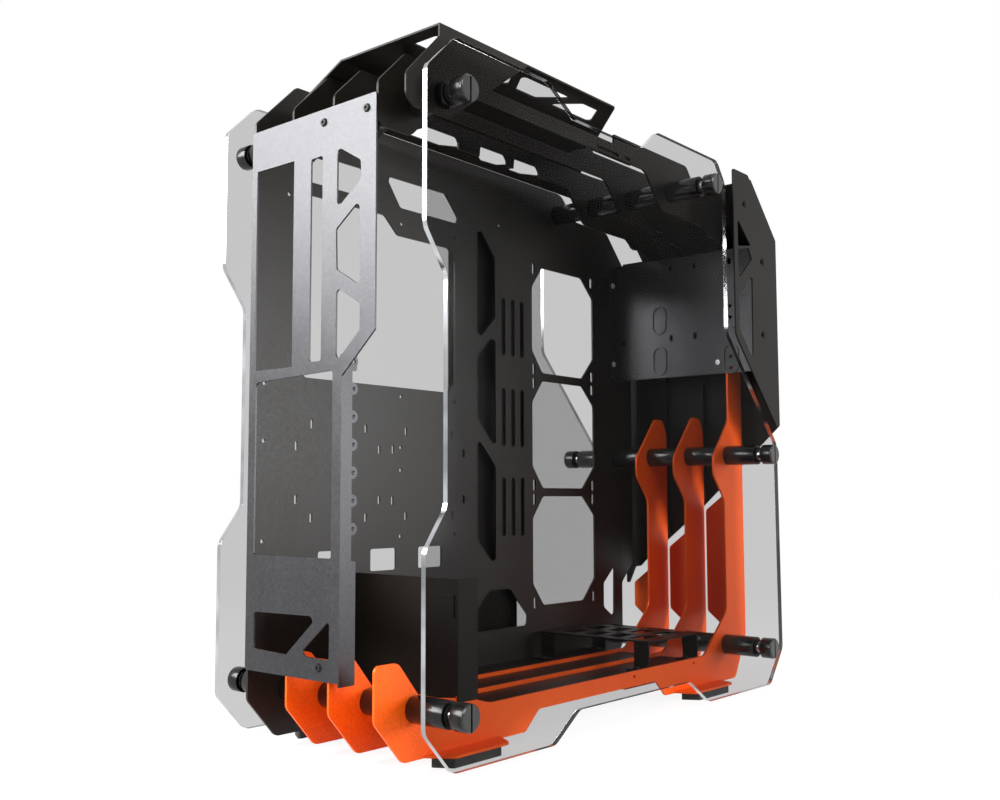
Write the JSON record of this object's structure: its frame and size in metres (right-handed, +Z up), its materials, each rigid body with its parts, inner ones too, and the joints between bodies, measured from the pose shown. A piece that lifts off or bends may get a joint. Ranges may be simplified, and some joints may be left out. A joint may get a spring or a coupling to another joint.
{
  "type": "computer case",
  "caption": "Mid-tower computer case of folded sheet frames on tie rods between two clear glass sides, with a mainboard tray, rear connector bracket, front cover and rubber foot pads.",
  "frame": {"origin": "on the floor under the centre of the overall box", "axes": "+Y runs from the front cover to the rear connectors, +Z is up, and +X points to the glass side behind the mainboard tray"},
  "size_m": [0.257, 0.561, 0.538],
  "materials": {
    "clear_glass": "clear hardened glass with polished edges",
    "frame_black": "fine satin black powder coat on sheet",
    "frame_orange": "bright orange powder coat on sheet",
    "rod_steel": "plain zinc-plated steel",
    "spacer_black": "satin black anodised, turned",
    "pad_rubber": "dull black rubber",
    "socket_plastic": "fine matt black",
    "switch_metal": "satin turned metal",
    "screw_black": "black oxide"
  },
  "bodies": {
    "case": {"near_glass": "clear_glass", "far_glass": "clear_glass", "motherboard_tray": "frame_black", "near_lower_frame": "frame_orange", "middle_lower_frame": "frame_orange", "far_lower_frame": "frame_orange", "near_upper_frame": "frame_black", "middle_upper_frame": "frame_black", "far_upper_frame": "frame_black", "roof_cover": "frame_black", "rear_bracket": "frame_black", "front_cover": "frame_black", "switch_body": "switch_metal", "switch_nut": "switch_metal", "front_ports": "socket_plastic", "drive_bay_plate": "frame_black", "power_supply_plate": "frame_black", "drive_bridge": "frame_black", "floor_strips": "frame_black", "tie_rods": "rod_steel", "frame_spacers": "spacer_black", "near_spacers": "spacer_black", "far_spacers": "spacer_black", "roof_spacer_inner": "spacer_black", "roof_spacer_outer": "spacer_black", "glass_washers": "pad_rubber", "glass_nuts": "spacer_black", "foot_pads": "pad_rubber", "bracket_screws": "screw_black", "bay_screws": "rod_steel", "bridge_screws": "screw_black"},
    "power_button": {"power_button": "switch_metal"}
  },
  "joints": [
    {"name": "power_button_press", "type": "slide", "parent": "case", "child": "power_button", "axis": [0, 1, 0], "range_m": [0, 0.0012], "stiffness_N_per_m": 1500, "springref_m": -0.0005}
  ]
}
